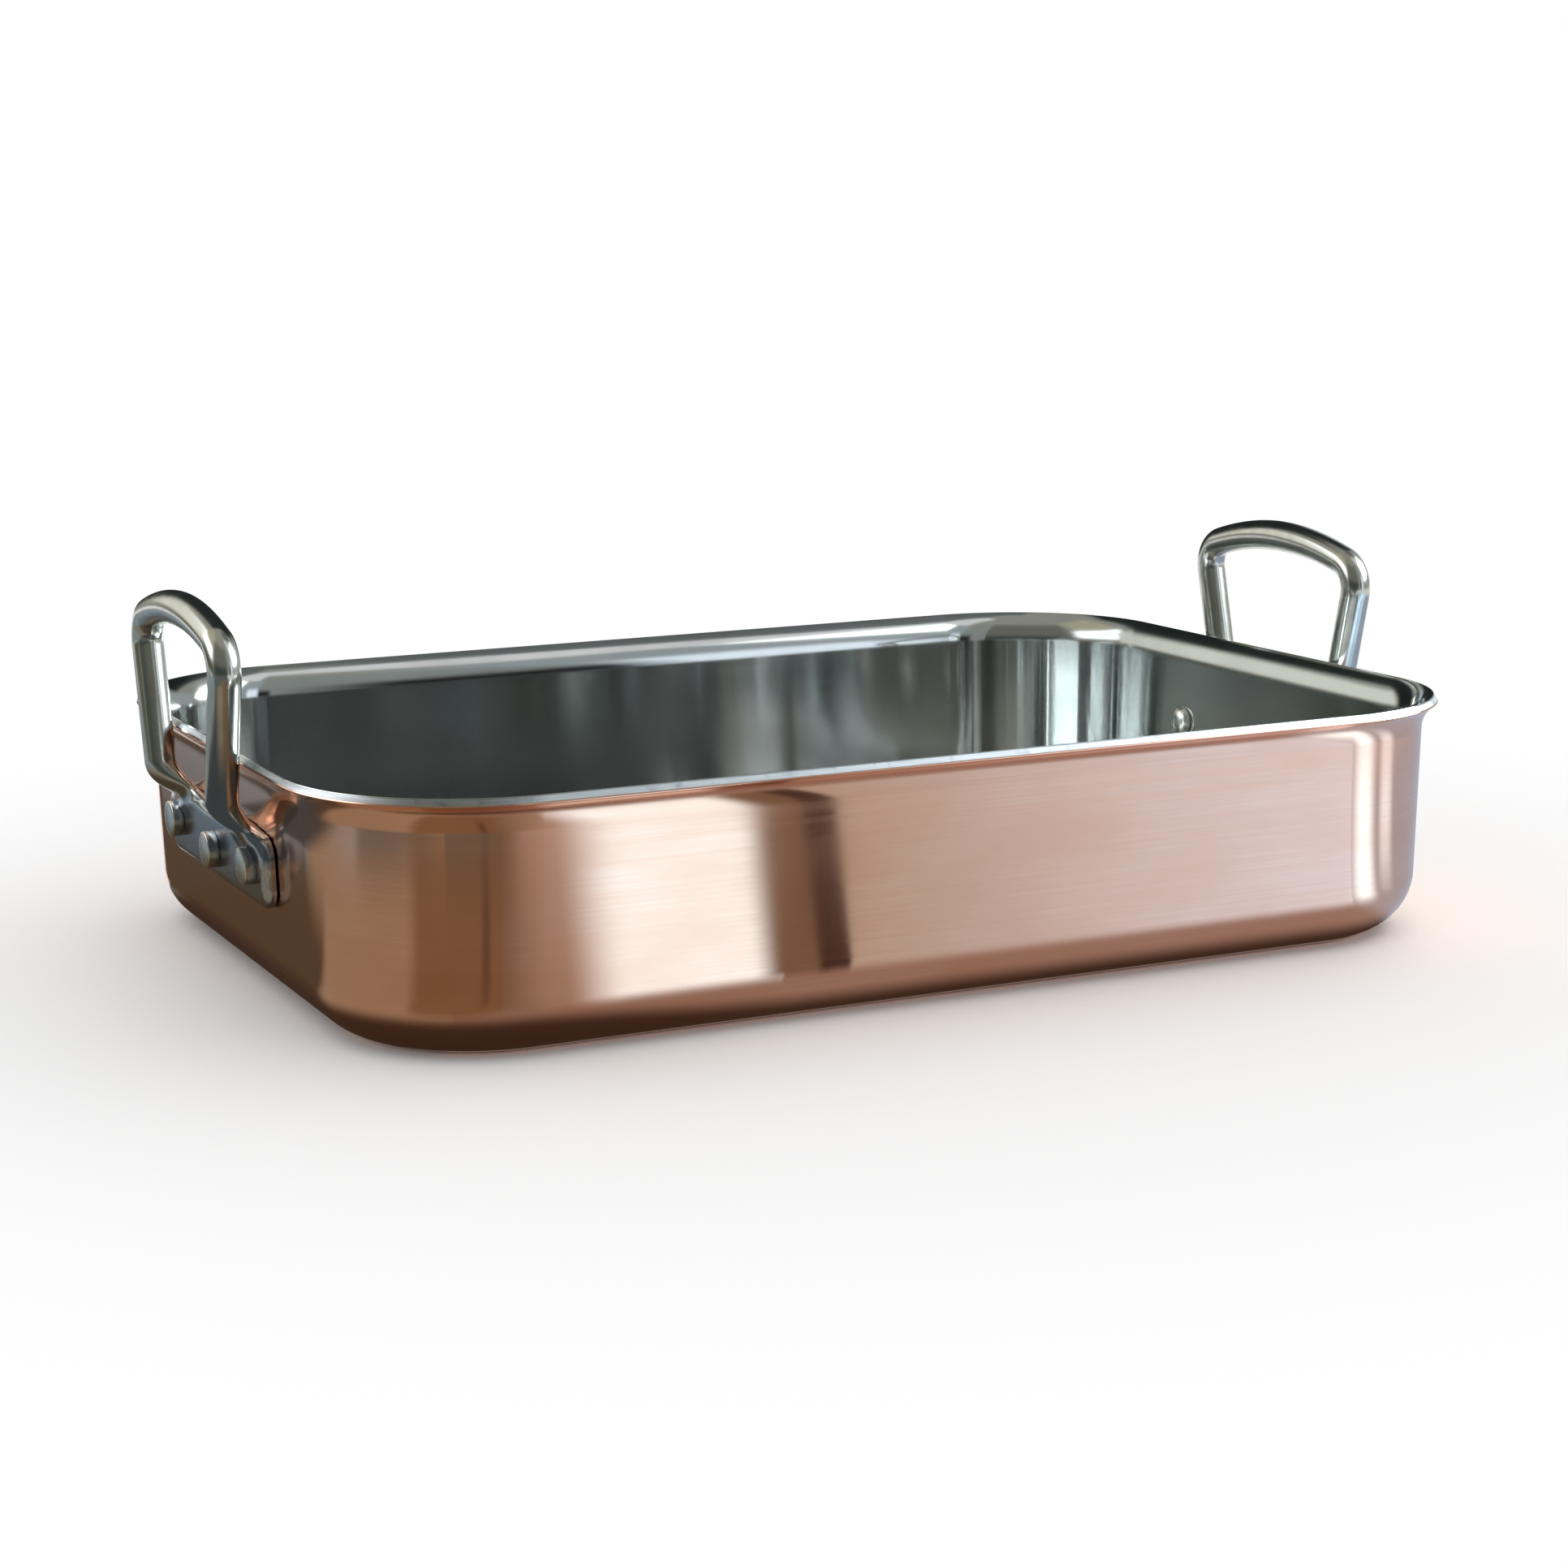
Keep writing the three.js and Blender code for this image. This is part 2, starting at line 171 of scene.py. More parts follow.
lip_slope = turned(LIP_RISE)
lip_normal = turned(LIP_RISE - math.pi / 2)
wall_normal = turned(-WALL_DRAFT)
lip_edge = np.array([0, RIM_HEIGHT - SHEET_THICKNESS * math.cos(LIP_RISE)])
lip_root = lip_edge - LIP_RUN * lip_slope
flare_centre = lip_root + FLARE_RADIUS * lip_normal
wall_top = flare_centre - FLARE_RADIUS * wall_normal
foot_height = BASE_EDGE_RADIUS * (1 - math.sin(WALL_DRAFT))
wall_foot = wall_top - [(wall_top[1] - foot_height) * math.tan(WALL_DRAFT), wall_top[1] - foot_height]
edge_centre = wall_foot - BASE_EDGE_RADIUS * wall_normal

BASE_STEPS, EDGE_STEPS, WALL_STEPS, FLARE_STEPS, ROUND_STEPS = 8, 20, 8, 18, 5


def face_section():
    """The outer face from the middle of the base to the end of the flare, as points (outward from the lip's
    edge, up), normals, and the share by which the base's rings shrink: base, edge arc, wall, flare arc."""
    edge_normals = turned(np.linspace(-math.pi / 2, -WALL_DRAFT, EDGE_STEPS + 1))
    edge = edge_centre + BASE_EDGE_RADIUS * edge_normals
    base = np.repeat(edge[:1], BASE_STEPS, axis=0)
    wall = wall_foot + np.linspace(0, 1, WALL_STEPS + 1)[1:-1, None] * (wall_top - wall_foot)
    flare_normals = -turned(np.linspace(math.pi - WALL_DRAFT, math.pi / 2 + LIP_RISE, FLARE_STEPS + 1))
    flare = flare_centre - FLARE_RADIUS * flare_normals
    points = np.concatenate([base, edge, wall, flare])
    normals = np.concatenate([
        np.repeat(edge_normals[:1], BASE_STEPS, axis=0), edge_normals,
        np.repeat(wall_normal[None], len(wall), axis=0), flare_normals,
    ])
    shrink = np.ones(len(points))
    shrink[:BASE_STEPS] = np.linspace(0, 1, BASE_STEPS + 1)[:-1]
    return points, normals, shrink


def ply_section(outer_depth, inner_depth, outer_round, inner_round):
    """One ply between two depths under the sheet's outer face: out along the outer face, over the cut edge
    with a small round at each corner, and back along the inner face."""
    points, normals, shrink = face_section()
    swing = np.linspace(0, math.pi / 2, ROUND_STEPS)[:, None]
    outer_normals = np.cos(swing) * lip_normal + np.sin(swing) * lip_slope
    inner_normals = (-np.cos(swing) * lip_normal + np.sin(swing) * lip_slope)[::-1]
    outer_middle = lip_edge - outer_depth * lip_normal - outer_round * (lip_slope + lip_normal)
    inner_middle = lip_edge - inner_depth * lip_normal - inner_round * (lip_slope - lip_normal)
    section = np.concatenate([
        points - outer_depth * normals,
        outer_middle + outer_round * outer_normals,
        inner_middle + inner_round * inner_normals,
        (points - inner_depth * normals)[::-1],
    ])
    facing = np.concatenate([normals, outer_normals, inner_normals, -normals[::-1]])
    return section, facing, np.concatenate([shrink, np.ones(2 * ROUND_STEPS), shrink[::-1]])


# %% [markdown]
# Every point of the tray's outline has a direction that leads out of the tray. The section is laid along it,
# so all bends keep their radius round the corners. The cut edges between the plies stay sharp, and those that
# a hand can touch are burnished round.

# %% Carry the section round the tray
CORNER_STEPS, SIDE_STEPS = 32, 10


def tray_outline():
    """The round-cornered rectangle, as the middle of the nearest corner's arc and the direction out from it.
    On a corner the direction turns and the middle stays; on a side the middle slides to the next corner."""
    reach = np.array([LIP_LENGTH / 2 - LIP_CORNER_RADIUS, LIP_WIDTH / 2 - LIP_CORNER_RADIUS])
    corners = reach * np.array([[1, 1], [-1, 1], [-1, -1], [1, -1]])
    share = np.concatenate([np.zeros(CORNER_STEPS + 1), np.arange(1, SIDE_STEPS) / SIDE_STEPS])
    turn = np.concatenate([np.arange(CORNER_STEPS + 1) / CORNER_STEPS, np.ones(SIDE_STEPS - 1)])
    middles = corners[:, None] + share[None, :, None] * (np.roll(corners, -1, axis=0) - corners)[:, None]
    angles = (np.arange(4)[:, None] + turn) * math.pi / 2
    return middles.reshape(-1, 2), turned(angles).reshape(-1, 2)


def sheet_piece(node, outer_depth, inner_depth, outer_round, inner_round):
    """A ply of the tray: point = share times (middle + (corner radius + section's outward) times direction),
    at the section's height."""
    section, facing, shrink = ply_section(outer_depth, inner_depth, outer_round, inner_round)
    middles, directions = tray_outline()
    reach = LIP_CORNER_RADIUS + section[:, :1]
    flat = shrink[:, None, None] * (middles + reach[..., None] * directions)
    rings = np.concatenate([flat, np.broadcast_to(section[:, 1:, None], (*flat.shape[:2], 1))], axis=-1)
    outward = facing[:, :1, None] * directions
    rise = np.broadcast_to(facing[:, 1:, None], (*flat.shape[:2], 1))
    piece = ringed_piece(node, rings, np.concatenate([outward, rise], axis=-1))
    print(piece.name, len(piece.data.polygons), "faces")
    return piece


core_depth = COPPER_THICKNESS + BOND_LINE
lining_depth = core_depth + CORE_THICKNESS + BOND_LINE
SHARP, BURNISHED = 0.03, 0.22
copper_skin = sheet_piece("copper_skin", 0, COPPER_THICKNESS, BURNISHED, SHARP)
aluminium_core = sheet_piece("aluminium_core", core_depth, core_depth + CORE_THICKNESS, SHARP, SHARP)
steel_lining = sheet_piece("steel_lining", lining_depth, SHEET_THICKNESS, SHARP, BURNISHED)

# %% [markdown]
# ## The cast handles
#
# A handle is one casting: a riveting plate, two feet that spread into it, two legs and a crowned grip that
# swells to fill the hand. Two meshes pushed into each other would show a crease at the feet, where the real
# casting has a soft hollow. So the casting is described by its distance field: the distance from any point
# to the rod and to the plate, blended where the two are close. The surface lies where the distance is zero,
# and the field's slope is the exact normal.

# %% Sizes of the handle
FIT_GAP = 0.3
RIVET_HEAD_RADIUS, RIVET_SHANK_RADIUS = 5.2, 2.5
RIVET_SPACING, RIVET_DROP = 37, 2.4
PLATE_BELOW_RIM, PLATE_THICKNESS = 20.6, 3.7
PLATE_END_MARGIN, PLATE_LOWER_MARGIN, HEAD_TO_FOOT = 10.7, 3.6, 0.4
PLATE_CORNER_RADIUS, PLATE_EDGE_ROUND = 6, 2.8
LEG_RADIUS, GRIP_RADIUS = 4.5, 4.8
FOOT_ROOT, FOOT_WIDTH, FOOT_INSET, BEND_HEIGHT = 2.9, 17, 17.8, 9.5
LEG_SPLAY = math.radians(14)
GRIP_RISE, GRIP_CORNER_RADIUS, GRIP_CROWN_RADIUS = 36, 8.5, 128
LIP_GAP = 0.3

plate_half_length = RIVET_SPACING + PLATE_END_MARGIN
plate_top = -PLATE_BELOW_RIM
rivet_line = plate_top - FOOT_ROOT - HEAD_TO_FOOT - RIVET_HEAD_RADIUS
plate_bottom = rivet_line - RIVET_DROP - RIVET_HEAD_RADIUS - PLATE_LOWER_MARGIN
plate_middle = FIT_GAP + PLATE_THICKNESS / 2
leg_out = (lip_edge - wall_top) @ wall_normal + LIP_GAP + LEG_RADIUS
print("plate", round(2 * plate_half_length, 1), "by", round(plate_top - plate_bottom, 1), "mm")

# %% [markdown]
# The rod rises from the plate as a flat foot, turns out past the lip, and runs up the leg, round the corner
# and over the crown. Half of it is enough, because the other half mirrors it.

# %% Middle line of half the rod
LEG_STEPS, GRIP_CORNER_STEPS, CROWN_STEPS = 120, 40, 60


def smooth_step(share):
    """0 to 1 with level ends: 3 s^2 - 2 s^3."""
    share = np.clip(share, 0, 1)
    return share * share * (3 - 2 * share)


def rod_line(spacing):
    """Half of the rod from the root of a foot to the crown, in the handle's frame (out of the wall, along it,
    up it): the bent foot, the splayed leg, the corner's arc and the crown's arc. Gives places at an even
    spacing and, at each, the rod's half sizes across the plate and out of it."""
    leg_up = np.array([math.sin(LEG_SPLAY), math.cos(LEG_SPLAY)])
    leg_foot = np.array([plate_half_length - FOOT_INSET, plate_top])
    crown_centre = np.array([0, GRIP_RISE - GRIP_CROWN_RADIUS])
    start = leg_foot + GRIP_CORNER_RADIUS * np.array([-leg_up[1], leg_up[0]]) - crown_centre
    reach = GRIP_CROWN_RADIUS - GRIP_CORNER_RADIUS
    climb = math.sqrt((start @ leg_up) ** 2 - start @ start + reach**2) - start @ leg_up
    corner_centre = crown_centre + start + climb * leg_up
    crown_angle = math.atan2(*(corner_centre - crown_centre)[::-1])
    leg = leg_foot + np.linspace(-FOOT_ROOT / leg_up[1], climb, LEG_STEPS)[:, None] * leg_up
    corner_turn = np.linspace(-LEG_SPLAY, crown_angle, GRIP_CORNER_STEPS)[1:]
    crown_turn = np.linspace(crown_angle, math.pi / 2, CROWN_STEPS)[1:]
    corner = corner_centre + GRIP_CORNER_RADIUS * turned(corner_turn)
    crown = crown_centre + GRIP_CROWN_RADIUS * turned(crown_turn)
    along, height = np.concatenate([leg, corner, crown]).T
    bent = smooth_step((height - plate_top + FOOT_ROOT) / (FOOT_ROOT + BEND_HEIGHT))
    bent[len(leg):] = 1
    swell = GRIP_RADIUS + (LEG_RADIUS - GRIP_RADIUS) * smooth_step(along / crown[0, 0])
    thickness = np.where(np.arange(len(along)) < len(leg), LEG_RADIUS, swell)
    out = plate_middle + bent * (leg_out - height * math.tan(WALL_DRAFT) - plate_middle)
    across = FOOT_WIDTH / 2 + bent * (thickness - FOOT_WIDTH / 2)
    depth = PLATE_THICKNESS / 2 - FIT_GAP + bent * (thickness - PLATE_THICKNESS / 2 + FIT_GAP)
    table = np.stack([out, along, height, across, depth], axis=-1)
    run = np.concatenate([[0], np.cumsum(np.linalg.norm(np.diff(table[:, :3], axis=0), axis=1))])
    even = np.linspace(0, run[-1], round(run[-1] / spacing) + 1)
    return np.stack([np.interp(even, run, column) for column in table.T], axis=-1)


ROD_SPACING = 0.5
rod = rod_line(ROD_SPACING)
rod_forward = np.gradient(rod[:, :3], axis=0)
rod_forward[-1] = [0, -1, 0]
rod_forward /= np.linalg.norm(rod_forward, axis=1, keepdims=True)
rod_across = np.cross([1, 0, 0], rod_forward)
rod_across /= np.linalg.norm(rod_across, axis=1, keepdims=True)
rod_out = np.cross(rod_forward, rod_across)
rod_table = np.concatenate([rod, rod_across, rod_out], axis=1)
rod_stops = np.concatenate([[2 * rod[0, :3] - rod[1, :3]], rod[:, :3], [rod[-2, :3] * [1, -1, 1]]])
print("half rod", round(len(rod) * ROD_SPACING), "mm long, foot at", np.round(rod[0, :3], 1),
      "crown at", np.round(rod[-1, :3], 1))

# %% [markdown]
# The field takes three steps: how far a point is from the rod, how far it is from the plate, and the two
# blended into one casting. Each point needs the rod's nearest place, which is looked up among its stations.

# %% Distance field of the casting
BLEND = 4.0  # how wide the hollow between foot and plate is
SLOPE_STEP = 0.01
POINTS_AT_ONCE = 50000  # keeps the table of distances small


def rod_distance(points, nearest):
    """About the distance to the rod: at the nearest place on its line, (|(across / a, out / b)| - 1) times
    the smaller half size; past the root, the distance along the line is added. The nearest place lies where
    a parabola through the squared distances to three stations is lowest."""
    points = np.stack([points[:, 0], np.abs(points[:, 1]), points[:, 2]], axis=-1)
    before, here, after = (np.sum((points - rod_stops[nearest + k]) ** 2, axis=1) for k in range(3))
    step = (before - after) / (2 * (before - 2 * here + after))
    at = np.clip(nearest + step, 0, len(rod) - 1)
    low = np.minimum(at.astype(int), len(rod) - 2)
    mix = (at - low)[:, None]
    row = rod_table[low] * (1 - mix) + rod_table[low + 1] * mix
    place, half, across_way, out_way = np.split(row, [3, 5, 8], axis=1)
    past_root = np.maximum(-(nearest + step), 0) * ROD_SPACING
    across = np.sum((points - place) * across_way, axis=1) / half[:, 0]
    out = np.sum((points - place) * out_way, axis=1) / half[:, 1]
    radial = (np.hypot(across, out) - 1) * half.min(axis=1)
    return np.where(past_root > 0, np.hypot(np.maximum(radial, 0), past_root), radial)


def plate_distance(points):
    """The distance to a bar with round corners and rounded edges, twice as thick as the plate. Its middle
    lies in the plane of the plate's back, where the casting is cut flat."""
    half = np.array([plate_half_length, (plate_top - plate_bottom) / 2]) - PLATE_CORNER_RADIUS
    flat = np.abs(points[:, 1:] - [0, (plate_top + plate_bottom) / 2]) - half
    side = np.hypot(*np.maximum(flat, 0).T) + np.minimum(flat.max(axis=1), 0) - PLATE_CORNER_RADIUS
    wrap = np.stack([side, np.abs(points[:, 0] - FIT_GAP) - PLATE_THICKNESS], axis=-1) + PLATE_EDGE_ROUND
    return np.hypot(*np.maximum(wrap, 0).T) + np.minimum(wrap.max(axis=1), 0) - PLATE_EDGE_ROUND


def nearest_station(points):
    """The index of the rod's place nearest to each point, from |p - q|^2 = |p|^2 - 2 p.q + |q|^2."""
    mirrored = np.stack([points[:, 0], np.abs(points[:, 1]), points[:, 2]], axis=-1).astype(np.float32)
    line = rod[:, :3].astype(np.float32)
    lengths = np.sum(line * line, axis=1)
    parts = np.array_split(mirrored, max(1, len(mirrored) // POINTS_AT_ONCE))
    return np.concatenate([np.argmin(lengths - 2 * part @ line.T, axis=1) for part in parts])


def casting_distance(points, nearest):
    """Rod and plate blended: the lesser distance, less (b - |difference|)^2 / 4b where they differ by under
    b. The back is cut flat where it lies against the wall."""
    rod_part = rod_distance(points, nearest)
    plate_part = plate_distance(points)
    close = np.maximum(BLEND - np.abs(rod_part - plate_part), 0)
    return np.maximum(np.minimum(rod_part, plate_part) - close**2 / (4 * BLEND), FIT_GAP - points[:, 0])


def casting_slope(points, nearest):
    """The field's direction of steepest rise, from differences over a small step each way along the axes."""
    steps = SLOPE_STEP * np.eye(3)
    rise = [casting_distance(points + s, nearest) - casting_distance(points - s, nearest) for s in steps]
    slope = np.stack(rise, axis=-1)
    return slope / np.maximum(np.linalg.norm(slope, axis=1, keepdims=True), 1e-9)


# %% [markdown]
# A grid of small cells finds where the field changes sign. Each cell that the surface crosses gives a point,
# and the field's slope pulls it onto the true surface.

# %% Surface of the casting
CELL = 0.62  # size of the grid's cells, small beside the tightest round of the casting
GRID_MARGIN = 1


def casting_surface():
    """The zero surface of the field on a grid: one point in each cell that the surface crosses, and a quad
    round each grid edge whose ends lie on different sides. Three steps down the slope then put every point on
    the true surface."""
    low = np.array([0, -plate_half_length, plate_bottom]) - GRID_MARGIN
    high = np.array([leg_out + GRIP_RADIUS, plate_half_length, GRIP_RISE + GRIP_RADIUS]) + 2 * GRID_MARGIN
    counts = np.ceil((high - low) / CELL).astype(int)
    grid = np.indices(counts).reshape(3, -1).T * CELL + low
    inside = (casting_distance(grid, nearest_station(grid)) < 0).reshape(counts)
    corners = [inside[i:counts[0] - 1 + i, j:counts[1] - 1 + j, k:counts[2] - 1 + k]
               for i in (0, 1) for j in (0, 1) for k in (0, 1)]
    filled = np.sum(corners, axis=0)
    crossed = (filled > 0) & (filled < len(corners))
    index = np.full(crossed.shape, -1)
    index[crossed] = np.arange(crossed.sum())
    points = (np.argwhere(crossed) + 0.5) * CELL + low
    quads = []
    for axis in range(3):
        side, other = np.roll(np.eye(3, dtype=int), -axis, axis=0)[1:]
        here = np.moveaxis(inside, axis, 0)
        places = np.moveaxis(np.indices(inside.shape), axis + 1, 1)[:, :-1][:, here[:-1] != here[1:]].T
        ring = [places, places - side, places - side - other, places - other]
        quad = np.stack([index[tuple(cell.T)] for cell in ring], axis=-1)
        leaving = inside[tuple(places.T)]
        quads.append(np.where(leaving[:, None], quad, quad[:, ::-1]))
    for _ in range(3):
        nearest = nearest_station(points)
        distance = np.clip(casting_distance(points, nearest), -CELL, CELL)
        points = points - distance[:, None] * casting_slope(points, nearest)
    return points, casting_slope(points, nearest_station(points)), np.concatenate(quads)


casting_points, casting_normals, casting_quads = casting_surface()
print("casting:", len(casting_points), "points,", len(casting_quads), "quads")

# %% [markdown]
# Both handles are the same casting. Each leans back with its end wall, and the left one is turned half round.

# %% Set the handles against the end walls
wall_at_rim = LIP_LENGTH / 2 + wall_top[0] + (RIM_HEIGHT - wall_top[1]) * math.tan(WALL_DRAFT)


def end_frame(turn):
    """From the handle's frame to the pan's: lean back with the wall, move out to the end, turn about Z."""
    lean = Matrix.Rotation(WALL_DRAFT, 4, "Y")
    return np.array(Matrix.Rotation(turn, 4, "Z") @ Matrix.Translation((wall_at_rim, 0, RIM_HEIGHT)) @ lean)


ends = {"right": end_frame(0), "left": end_frame(math.pi)}


def placed(points, matrix):
    """Points and directions carried by a 4 by 4 matrix."""
    return points @ matrix[:3, :3].T + matrix[:3, 3]


handles = {}
for side, matrix in ends.items():
    handle = mesh_piece(
        f"{side}_handle", placed(casting_points, matrix),
        casting_normals @ matrix[:3, :3].T, casting_quads.tolist(),
    )
    handles[side] = handle
    print(handle.name, [round(x / MM, 1) for x in handle.dimensions], "mm")

# %% [markdown]
# ## Rivets
#
# Three rivets hold each handle. The outer head is struck flat with a low crown and the inner head is a round
# button that food can't catch on. A rivet is a turned shape, so it is a profile carried round its axis.

# %% Rivets
RIVET_HEAD_SIDE, RIVET_HEAD_CROWN = 2.6, 0.8
RIVET_INNER_RADIUS, RIVET_INNER_HEIGHT = 4.75, 2.8
RIVET_COLUMNS, DOME_ROWS = 48, 14


def rivet_profile():
    """(along the axis, radius) and the normals of the profile, from the inner dome's top to the outer one's.
    A dome is the quarter of an oval: foot + height sin t, radius cos t."""
    inner_foot = -SHEET_THICKNESS - FIT_GAP
    head_foot = FIT_GAP + PLATE_THICKNESS + FIT_GAP
    swing = np.linspace(math.pi / 2, 0, DOME_ROWS)
    rise, spread = np.sin(swing), np.cos(swing)
    inner = np.stack([inner_foot - RIVET_INNER_HEIGHT * rise, RIVET_INNER_RADIUS * spread], -1)
    outer = np.stack([head_foot + RIVET_HEAD_SIDE + RIVET_HEAD_CROWN * rise, RIVET_HEAD_RADIUS * spread], -1)
    inner_normals = np.stack([-RIVET_INNER_RADIUS * rise, RIVET_INNER_HEIGHT * spread], -1)
    outer_normals = np.stack([RIVET_HEAD_RADIUS * rise, RIVET_HEAD_CROWN * spread], -1)
    shank = np.array([[inner_foot, RIVET_SHANK_RADIUS], [head_foot, RIVET_SHANK_RADIUS]])
    profile = np.concatenate([inner, shank, [[head_foot, RIVET_HEAD_RADIUS]], outer[::-1]])
    normals = np.concatenate([inner_normals, [[0, 1], [0, 1], [-1, 1]], outer_normals[::-1]])
    return profile, normals / np.linalg.norm(normals, axis=1, keepdims=True)


def rivet_piece(node, matrix, along, height):
    """point = (axis, radius cos angle, radius sin angle), moved to the rivet's place on the plate."""
    profile, facing = rivet_profile()
    ring = turned(np.arange(RIVET_COLUMNS) * 2 * math.pi / RIVET_COLUMNS)
    spun = [np.concatenate([
        np.broadcast_to(row[:, :1, None], (len(row), RIVET_COLUMNS, 1)), row[:, 1:, None] * ring,
    ], axis=-1) for row in (profile, facing)]
    rings = placed(spun[0] + [0, along, height], matrix)
    piece = ringed_piece(node, rings, spun[1] @ matrix[:3, :3].T)
    radius = np.concatenate([np.repeat(profile[1:-1, 1], RIVET_COLUMNS), profile[[0, -1], 1]])
    piece.data.attributes.new("from_axis", "FLOAT", "POINT").data.foreach_set("value", radius)
    return piece


ORDER = {"right": ("front", "middle", "rear"), "left": ("rear", "middle", "front")}
rivets = [
    rivet_piece(
        f"{side}_rivet_{ORDER[side][step]}", ends[side],
        (step - 1) * RIVET_SPACING, rivet_line - RIVET_DROP * (step == 1),
    )
    for side in ends for step in range(3)
]
print(len(rivets), "rivets,", len(rivets[0].data.polygons), "faces each")

# %% [markdown]
# ## Finishes
#
# Colours are written as they look on a screen and turned into the linear values that light works with. One
# helper adds a node, sets it up and links it.

# %% Helpers for finishes
def linear(hex_colour):
    """An sRGB hex colour as linear red, green, blue and full alpha."""
    srgb = np.array([int(hex_colour[i:i + 2], 16) for i in (1, 3, 5)]) / 255
    return (*np.where(srgb <= 0.04045, srgb / 12.92, ((srgb + 0.055) / 1.055) ** 2.4).tolist(), 1)


def new_finish(name):
    """An empty material and its node tree."""
    material = bpy.data.materials.new(name)
    material.use_nodes = True
    material.node_tree.nodes.clear()
    return material, material.node_tree


def add_node(tree, kind, inputs=None, **settings):
    """One shader node with its settings and links. An input is a value, or the socket or node that feeds it.
    Of several sockets with one name, such as those of a mix, the one in use is taken."""
    made = tree.nodes.new(f"ShaderNode{kind}")
    for key, value in settings.items():
        setattr(made, key, value)
    for key, value in (inputs or {}).items():
        named = [socket for socket in made.inputs if socket.enabled and socket.name == key]
        target = named[0] if named else made.inputs[key]
        if isinstance(value, bpy.types.Node):
            value = next(socket for socket in value.outputs if socket.enabled)
        if isinstance(value, bpy.types.NodeSocket):
            tree.links.new(value, target)
        else:
            target.default_value = value
    return made


def wear(pieces, material):
    """Gives pieces their finish."""
    for piece in pieces:
        piece.data.materials.clear()
        piece.data.materials.append(material)
    print(material.name, "on", len(pieces), "pieces, of", len(material.node_tree.nodes), "nodes")


def round_the_walls(tree, normal):
    """The level way along a wall, for brush lines: Z x normal, nudged along X where the metal lies flat."""
    level = add_node(tree, "VectorMath", {0: (0, 0, 1), 1: normal}, operation="CROSS_PRODUCT")
    return add_node(tree, "VectorMath", {0: level, 1: (0.001, 0, 0)}, operation="ADD")


# %% [markdown]
# ### Copper
#
# The outside is rolled copper, brushed with a fine belt along the walls and then buffed. To the eye that is a
# warm mirror: it keeps upright edges sharp, smears them a little up and down across the brush lines, and
# shows long faint streaks. The lines could be an image, but noise stretched along the belt's way gives them
# at any size. On the base the belt ran lengthwise, so there a second noise is stretched along X.

# %% Rolled copper, brushed and buffed
copper, tree = new_finish("rolled copper, brushed and buffed")
LINE_LENGTH, LINE_WIDTH = 80 * MM, 0.8 * MM  # a real line is about 0.1 mm wide; drawn wider, so that it shows
CLOUD_LENGTH, CLOUD_HEIGHT = 35 * MM, 14 * MM  # patches of handling and tarnish
WAVE = 55 * MM  # slow waves of a pressed sheet

at = add_node(tree, "TexCoord").outputs
facing_up = add_node(tree, "SeparateXYZ", {"Vector": at["Normal"]}).outputs["Z"]
on_base = add_node(tree, "MapRange", {"Value": facing_up, "From Min": -0.75, "From Max": -0.95})
walls = add_node(tree, "Mapping", {
    "Vector": at["Object"], "Scale": (1 / LINE_LENGTH, 1 / LINE_LENGTH, 1 / LINE_WIDTH)})
base = add_node(tree, "Mapping", {
    "Vector": at["Object"], "Scale": (1 / LINE_LENGTH, 1 / LINE_WIDTH, 1 / LINE_LENGTH)})
brushed = add_node(tree, "Mix", {
    "Factor": on_base,
    "A": add_node(tree, "TexNoise", {"Vector": walls, "Scale": 1, "Detail": 3}),
    "B": add_node(tree, "TexNoise", {"Vector": base, "Scale": 1, "Detail": 3}),
})
lines = add_node(tree, "MapRange", {"Value": brushed, "From Min": 0.3, "From Max": 0.7})
patches = add_node(tree, "Mapping", {
    "Vector": at["Object"], "Scale": (1 / CLOUD_LENGTH, 1 / CLOUD_LENGTH, 1 / CLOUD_HEIGHT)})
clouds = add_node(tree, "TexNoise", {"Vector": patches, "Scale": 1, "Detail": 3})
handled = add_node(tree, "MapRange", {"Value": clouds, "From Min": 0.38, "From Max": 0.72})
clean = add_node(tree, "Mix", {
    "Factor": lines, "A": linear("#F3C8B2"), "B": linear("#EFC0A8")}, data_type="RGBA")
tint = add_node(tree, "Mix", {"Factor": handled, "A": clean, "B": linear("#ECBBA1")}, data_type="RGBA")
buffed = add_node(tree, "Mix", {"Factor": lines, "A": 0.10, "B": 0.14})
dulled = add_node(tree, "Mix", {"Factor": handled, "A": buffed, "B": 0.15})
fine = add_node(tree, "Bump", {"Strength": 0.09, "Distance": 0.02 * MM, "Height": brushed})
swell = add_node(tree, "TexNoise", {"Vector": at["Object"], "Scale": 1 / WAVE, "Detail": 1})
waved = add_node(tree, "Bump", {
    "Strength": 0.2, "Distance": 0.1 * MM, "Height": swell, "Normal": fine})
along = round_the_walls(tree, at["Normal"])
metal = add_node(tree, "BsdfPrincipled", {
    "Metallic": 1, "Base Color": tint, "Roughness": dulled, "Normal": waved,
    "Anisotropic": 0.9, "Anisotropic Rotation": 0.25, "Tangent": along})
add_node(tree, "OutputMaterial", {"Surface": metal})
wear([copper_skin], copper)

# %% [markdown]
# ### The cut edge
#
# The lip's edge was sheared through and dressed with a file and a fine belt. It shows the thick aluminium
# ply as a dull silver band with lines along the rim and small dull patches.

# %% Sheared aluminium, dressed
aluminium, tree = new_finish("sheared aluminium, dressed along the edge")
FILE_LENGTH, FILE_WIDTH, PATCH = 12 * MM, 0.35 * MM, 4 * MM

